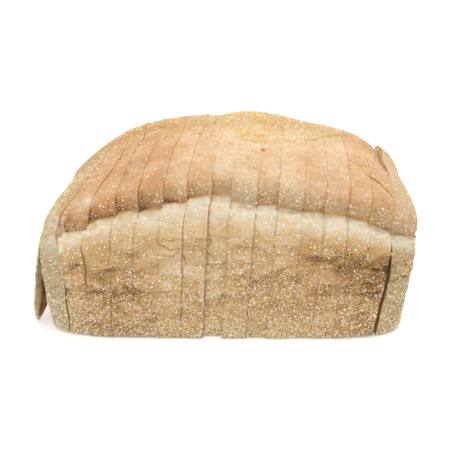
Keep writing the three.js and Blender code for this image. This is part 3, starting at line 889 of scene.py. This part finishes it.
def peeled_crust():
    """The peeled crust: two superellipse sheets, flat inside, bulged outside and joined at a frayed rim."""
    turns = np.arange(FLAP_ROUND) / FLAP_ROUND * 2 * np.pi
    shares = np.linspace(0, 1, FLAP_RINGS + 1)[1:] ** 0.7
    c, s = np.cos(turns)[None, :], np.sin(turns)[None, :]
    share = shares[:, None]
    frayed = 1 + 0.012 * noise(np.stack([c * 9, s * 9, 0 * c], -1), 0.5, 31) * smooth(0.9, 1, share)
    size = share * frayed / (np.abs(c) ** FLAP_POWER + np.abs(s) ** FLAP_POWER) ** (1 / FLAP_POWER)
    y = FLAP["across"] + FLAP["half_width"] * c * size
    drop = share * np.maximum(0, -s) * (FLAP_CORNER * -c - FLAP_LIFT * smooth(-0.75, -0.2, c))
    drop = drop + FLAP_TIP * share**3 * bell((turns[None, :] - FLAP_TIP_TURN) / 0.2)
    z = FLAP["height"] + FLAP["half_height"] * s * size - drop
    sheets = []
    for outer in (False, True):
        yy = np.concatenate([[FLAP["across"]], y.ravel()])
        zz = np.concatenate([[FLAP["height"]], z.ravel()])
        reach = np.concatenate([[0], np.broadcast_to(share, y.shape).ravel()])
        peeled = FLAP_TILT * (FLAP["height"] + FLAP["half_height"] - zz)
        bulge = FLAP["edge"] + FLAP["thickness"] * (1 - reach**3) if outer else 0 * reach
        points = np.stack([cut_x(-1, yy, zz) - FLAP_CLEARANCE - peeled - bulge, yy, zz], -1)
        points[:, 0] -= waves(points, "flap") * (1 if outer else -0.4) * smooth(1, 0.9, reach)
        sheets.append(points)
    count = len(sheets[0])
    ring = 1 + np.arange(FLAP_RINGS * FLAP_ROUND).reshape(FLAP_RINGS, FLAP_ROUND)
    beyond = np.roll(ring, -1, axis=1)
    quads = np.stack([a.ravel() for a in (ring[:-1], ring[1:], beyond[1:], beyond[:-1])], axis=1)
    fan = np.stack([np.zeros(FLAP_ROUND, int), ring[0], beyond[0]], axis=1)
    rim = np.stack([ring[-1], ring[-1] + count, beyond[-1] + count, beyond[-1]], axis=1)
    faces = [quads, fan, rim, quads[:, ::-1] + count, fan[:, ::-1] + count]
    reach = np.concatenate([[0], np.repeat(shares, FLAP_ROUND)])
    torn = np.tile(smooth(0.95, 1, reach), 2)
    points = np.concatenate(sheets)
    white = smooth(-32, -35, points[:, 1] + 2.5 * noise(points, 5, 34))
    white *= 0.85 + 0.3 * noise(points, 2.5, 35)
    torn = np.maximum(torn, np.clip(white, 0, 1))
    inner = np.concatenate([np.ones(count), np.zeros(count)]) * (1 - 0.8 * torn)
    # Painted shade: the inner sheet, turned to the heel, is toasted dark brown where it is not torn.
    values = {
        "toast": 0.4 + 0.65 * inner, "flour": 1.1 * (1 - inner), "gold": 0.25 + 0.15 * inner,
        "domed": inner, "mottle": 0.4 * (1 - inner), "grit": 0.35 * (1 - inner), "dust": 0.3 * (1 - inner),
        "crumb": 0.9 * torn, "cut": 0 * inner, "rise": 0 * inner,
    }
    return points, faces, values


def sample_faces(points, faces, weight, count, rng):
    """Places on faces picked by area times weight: the points and the unit normals there."""
    a, b, c, d = (points[faces[:, k]] for k in range(4))
    cross = np.cross(c - a, d - b)
    area = np.linalg.norm(cross, axis=1) / 2
    walked = np.cumsum(area * weight)
    picked = np.searchsorted(walked, rng.random(count) * walked[-1])
    u, v = rng.random((2, count, 1))
    place = mix(mix(a[picked], b[picked], u), mix(d[picked], c[picked], u), v)
    return place, cross[picked] / np.maximum(2 * area[picked], 1e-9)[:, None]


OCTAHEDRON = np.array([(1, 0, 0), (-1, 0, 0), (0, 1, 0), (0, -1, 0), (0, 0, 1), (0, 0, -1)], float)
OCTAHEDRON_FACES = np.array([
    (0, 2, 4), (2, 1, 4), (1, 3, 4), (3, 0, 4), (2, 0, 5), (1, 2, 5), (3, 1, 5), (0, 3, 5),
])


def turned(quaternions, shape):
    """Each row's rotation, from its unit quaternion, of every corner of a shape."""
    w, x, y, z = quaternions.T
    rows = [
        [1 - 2 * (y * y + z * z), 2 * (x * y - w * z), 2 * (x * z + w * y)],
        [2 * (x * y + w * z), 1 - 2 * (x * x + z * z), 2 * (y * z - w * x)],
        [2 * (x * z - w * y), 2 * (y * z + w * x), 1 - 2 * (x * x + y * y)],
    ]
    turn = np.moveaxis(np.array(rows), -1, 0)
    return np.einsum("nij,nkj->nki", turn, shape)


def meal_grains(places, normals, radii, rng):
    """Corn grains: octahedra of uneven length, width and height, turned at random and sunk into the crust."""
    count = len(places)
    uneven = rng.uniform(0.65, 1.15, (count, 1, 3))
    jitter = rng.uniform(0.85, 1.15, (count, 6, 1))
    shape = OCTAHEDRON[None] * uneven * jitter * radii[:, None, None]
    quaternions = rng.normal(size=(count, 4))
    quaternions /= np.linalg.norm(quaternions, axis=1, keepdims=True)
    centres = places + normals * (radii * GRAIN_RISE)[:, None]
    points = centres[:, None, :] + turned(quaternions, shape)
    faces = OCTAHEDRON_FACES[None] + 6 * np.arange(count)[:, None, None]
    tints = np.repeat(rng.random(count), 6)
    return points.reshape(-1, 3), faces.reshape(-1, 3), tints


def coarse_places():
    """The coarse grits' places: spread along the loaf and round its outline by two irrational steps."""
    count = np.arange(1, GRIT_COUNT + 1)
    walked, fine = walked_outline(2, 1)
    s = np.interp((count * STEP_U) % 1 * walked[-1], walked, fine) % SPANS
    x = mix(-HALF_LENGTH, HALF_LENGTH, (count * STEP_V) % 1)
    columns = columns_at(s).T
    angle = angle_reaching(columns, lambda y, z: x)
    step = 1e-3
    lengthways = crust(columns, angle + step) - crust(columns, angle - step)
    around = crust(columns_at((s + step) % SPANS).T, angle) - crust(columns_at((s - step) % SPANS).T, angle)
    outwards = np.cross(lengthways, around)
    outwards /= np.linalg.norm(outwards, axis=1, keepdims=True)
    radius = GRIT_RADIUS + GRIT_SPREAD * (1 - count / GRIT_COUNT)
    return crust(columns, angle), outwards, radius


# Materials. Each is built from nodes; every pattern follows the object's own coordinates.
class Shading:
    def __init__(self, name):
        self.material = bpy.data.materials.new(name)
        self.material.use_nodes = True
        self.tree = self.material.node_tree
        self.tree.nodes.clear()
        self.surface = self.node("BsdfPrincipled")
        self.node("OutputMaterial", {"Surface": self.surface.outputs["BSDF"]})
        self.place = self.node("TexCoord").outputs["Object"]

    def node(self, kind, inputs=None):
        """A node of a kind, with numbers, colours or other nodes' outputs put into the inputs named."""
        node = self.tree.nodes.new(f"ShaderNode{kind}")
        for label, value in (inputs or {}).items():
            self.put(node.inputs[label], value)
        return node

    def put(self, socket, value):
        if isinstance(value, bpy.types.NodeSocket):
            self.tree.links.new(value, socket)
        else:
            socket.default_value = (*value, 1) if socket.type == "RGBA" else value

    def value(self, label):
        node = self.node("Attribute")
        node.attribute_name = label
        return node.outputs["Fac"]

    def math(self, operation, *values):
        node = self.node("Math")
        node.operation = operation
        for socket, value in zip(node.inputs, values):
            self.put(socket, value)
        return node.outputs[0]

    def times(self, first, second):
        return self.math("MULTIPLY", first, second)

    def stretch(self, value, low, high, to_low=0.0, to_high=1.0):
        """An S-shaped step from to_low at low to to_high at high."""
        node = self.node("MapRange")
        node.interpolation_type = "SMOOTHSTEP"
        for socket, number in zip(node.inputs, (value, low, high, to_low, to_high)):
            self.put(socket, number)
        return node.outputs["Result"]

    def noise(self, size, detail, roughness=0.5):
        """Noise whose features are about size millimetres across."""
        inputs = {"Vector": self.place, "Scale": 1000 / size, "Detail": detail, "Roughness": roughness}
        return self.node("TexNoise", inputs).outputs["Fac"]

    def specks(self, size):
        """Distance from each cell's own point, in cells, and two random values of the cell."""
        cells = self.node("TexVoronoi", {"Vector": self.place, "Scale": 1000 / size})
        separate = self.node("SeparateColor", {"Color": cells.outputs["Color"]})
        return cells.outputs["Distance"], separate.outputs["Red"], separate.outputs["Green"]

    def ramp(self, value, stops):
        node = self.node("ValToRGB", {"Fac": value})
        elements = node.color_ramp.elements
        for element, (place, colour) in zip(elements, (stops[0], stops[-1])):
            element.position = place
            element.color = (*colour, 1)
        for place, colour in stops[1:-1]:
            elements.new(place).color = (*colour, 1)
        return node.outputs["Color"]

    def blend(self, share, first, second):
        """From the first colour to the second by a share."""
        node = self.node("Mix")
        node.data_type = "RGBA"
        for number, value in zip((0, 6, 7), (share, first, second)):
            self.put(node.inputs[number], value)
        return node.outputs[2]

    def finish(self, roughness, specular, inputs):
        """Sets the shader's own inputs and gives the material."""
        inputs = {"Roughness": roughness, "Specular IOR Level": specular, **inputs}
        for label, value in inputs.items():
            self.put(self.surface.inputs[label], value)
        return self.material


def crust_material(name):
    """Baked crust: toast and painted shade set a ramp from cream to brown, with flour and painted highlight,
    meal, specks and crumb over it.
    """
    m = Shading(name)
    toast = m.value("toast")
    for size, detail, depth in BLOTCHES:
        toast = m.math("ADD", toast, m.times(m.math("SUBTRACT", m.noise(size, detail), 0.5), depth))
    # Painted shade and highlight: the relief's grooves are toasted darker and its ridges paler.
    toast = m.math("SUBTRACT", toast, m.times(m.value("rise"), RISE_PAINTED_SHADING))
    colour = m.blend(m.value("domed"), m.ramp(toast, WALL_STOPS), m.ramp(toast, DOME_STOPS))
    for label, tint, grain, span in LAYERS:
        colour = m.blend(m.times(m.value(label), m.stretch(m.noise(*grain), *span)), colour, tint)
    pits = m.times(m.value("mottle"), m.stretch(m.noise(*PIT_GRAIN), *PIT_SPAN))
    colour = m.blend(m.times(pits, m.stretch(m.value("flour"), 0, 0.6, 1, 0.25)), colour, PIT)
    distance, chance, tint = m.specks(SPECK_CELL)
    some = m.stretch(m.math("SUBTRACT", m.times(m.value("grit"), SPECK_SHARE), chance), -0.04, 0.04)
    speck = m.times(m.stretch(distance, *SPECK_RIM), some)
    colour = m.blend(m.times(speck, SPECK_OPACITY), colour, m.ramp(tint, SPECK_STOPS))
    edge = m.times(m.value("cut"), m.stretch(m.noise(2, 2), *EDGE_SPAN))
    colour = m.blend(edge, colour, m.blend(m.value("domed"), WALL_EDGE, DOME_EDGE))
    holes = m.stretch(m.noise(*HOLE_GRAIN), *HOLE_SPAN)
    colour = m.blend(m.value("crumb"), colour, m.blend(holes, CRUMB_HOLE, CRUMB))
    fine = m.times(m.math("ADD", m.noise(*FINE_GRAIN), speck), FINE_HEIGHT)
    height = m.math("ADD", fine, m.times(holes, m.value("crumb")))
    bumps = m.node("Bump", {"Height": height, "Distance": BUMP_DEPTH * MM, "Strength": 1})
    softness = {
        "Subsurface Weight": 0.3, "Subsurface Radius": (1.0, 0.45, 0.2), "Subsurface Scale": 2 * MM,
    }
    return m.finish(0.82, 0.25, {"Base Color": colour, "Normal": bumps.outputs["Normal"], **softness})


def grain_material(name, low, high):
    """Corn grains, each with its own tint between two colours."""
    m = Shading(name)
    return m.finish(0.3, 0.6, {"Base Color": m.blend(m.value("tint"), low, high)})


def pale_material(name, glow):
    inputs = {"Base Color": PALE, "Emission Color": (1, 1, 1), "Emission Strength": glow}
    return Shading(name).finish(0.9, 0.1, inputs)


def add_camera():
    """The camera that took the photo: low pitch, close, looking along +Y."""
    right = np.array([np.cos(CAMERA_TURN), np.sin(CAMERA_TURN), 0])
    level = np.cos(CAMERA_PITCH)
    forward = np.array([-np.sin(CAMERA_TURN) * level, np.cos(CAMERA_TURN) * level, -np.sin(CAMERA_PITCH)])
    up = np.cross(right, forward)
    data = bpy.data.cameras.new("camera")
    data.sensor_width = SENSOR_WIDTH
    data.lens = CAMERA_LENS
    data.clip_start = NEAREST_SEEN
    camera = bpy.data.objects.new("camera", data)
    place = (CAMERA_TARGET - forward * CAMERA_DISTANCE) * MM
    rows = np.column_stack([right, up, -forward, place]).tolist()
    camera.matrix_world = Matrix([*rows, (0, 0, 0, 1)])
    bpy.context.scene.collection.objects.link(camera)
    bpy.context.scene.camera = camera


def add_light(name, place, size, power):
    """A square soft light, aimed at the loaf."""
    data = bpy.data.lights.new(name, "AREA")
    data.size = size
    data.energy = power
    light = bpy.data.objects.new(name, data)
    light.location = place
    light.rotation_euler = (Vector(LIT_PLACE) - light.location).to_track_quat("-Z", "Y").to_euler()
    bpy.context.scene.collection.objects.link(light)


def add_studio():
    add_camera()
    for light in LIGHTS:
        add_light(*light)
    world = bpy.data.worlds.new("studio")
    world.use_nodes = True
    background = world.node_tree.nodes["Background"]
    background.inputs["Color"].default_value = (1, 1, 1, 1)
    rays = world.node_tree.nodes.new("ShaderNodeLightPath")
    power = world.node_tree.nodes.new("ShaderNodeMapRange")
    power.inputs["To Min"].default_value = WORLD_POWER
    power.inputs["To Max"].default_value = WORLD_SHOWN
    world.node_tree.links.new(rays.outputs["Is Camera Ray"], power.inputs["Value"])
    world.node_tree.links.new(power.outputs["Result"], background.inputs["Strength"])
    bpy.context.scene.world = world
    bpy.context.scene.view_settings.view_transform = "Standard"
    for name, near, far, height, glow in SHEETS:
        places = ((-1, near, 0), (1, near, 0), (1, far, height), (-1, far, height))
        points = np.array([(side * SHEET_HALF, y, z) for side, y, z in places], float)
        sheet = make_mesh(name, points, [np.array([[0, 1, 2, 3]])], {})
        sheet.data.materials.append(pale_material(f"pale_{name}", glow))


def build():
    add_studio()
    crust_finish = crust_material("baked_crust")
    made = {}
    cuts = [("heel_left", -1, 0, LEFT_HEEL_STATIONS), ("heel_right", SLICE_COUNT, None, RIGHT_HEEL_STATIONS)]
    cuts += [(f"slice_{k + 1:02d}", k, k + 1, SLICE_STATIONS) for k in range(SLICE_COUNT)]
    for name, start, end, stations in cuts:
        made[name] = bread(start, end, stations)
    made["end_crust"] = peeled_crust()
    for name, (points, faces, values) in made.items():
        piece = make_mesh(f"{name}_crust", points, faces, values)
        piece.data.materials.append(crust_finish)
        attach(piece, "root")
        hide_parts(name)
    add_meal(made)


def add_meal(made):
    """The cornmeal: grains on the crust by area times grit, in three colours, and the coarse grits."""
    rng = np.random.default_rng(GRAIN_SEED)
    pieces, outer_faces, looks_of = zip(*(made[name] for name in made if name != "end_crust"))
    offsets = np.cumsum([0] + [len(points) for points in pieces[:-1]])
    points = np.concatenate(pieces)
    faces = np.concatenate([outer[0] + offset for outer, offset in zip(outer_faces, offsets)])
    grit, domed = (np.concatenate([values[label] for values in looks_of]) for label in ("grit", "domed"))
    middle = points[faces].mean(axis=1)
    clumps = (0.6 + 0.5 * patchy(middle, "clump")) * (0.6 + 0.4 * patchy(middle, "drift"))
    weight = grit[faces].mean(axis=1) * clumps * (middle[:, 2] > GRAIN_LOWEST)
    coarse, outwards, radii = coarse_places()
    for number, (name, count, low, high, over_dome) in enumerate(MEAL):
        share = weight * mix(1, over_dome, domed[faces].mean(axis=1))
        places, normals = sample_faces(points, faces, share, count, rng)
        sizes = GRAIN_SMALL + (GRAIN_LARGE - GRAIN_SMALL) * rng.random(count) ** GRAIN_LEAN
        chosen = (np.arange(GRIT_COUNT) % len(MEAL) == number) & (coarse[:, 2] > GRIT_LOWEST)
        places = np.concatenate([places, coarse[chosen]])
        normals = np.concatenate([normals, outwards[chosen]])
        sizes = np.concatenate([sizes, radii[chosen] * GRIT_SHARE])
        grain_points, grain_faces, tints = meal_grains(places, normals, sizes, rng)
        piece = make_mesh(f"meal_{name}", grain_points, [grain_faces], {"tint": tints})
        piece.data.shade_flat()
        piece.data.materials.append(grain_material(f"meal_{name}", low, high))
        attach(piece, "root")


build()

bpy.context.view_layer.update()
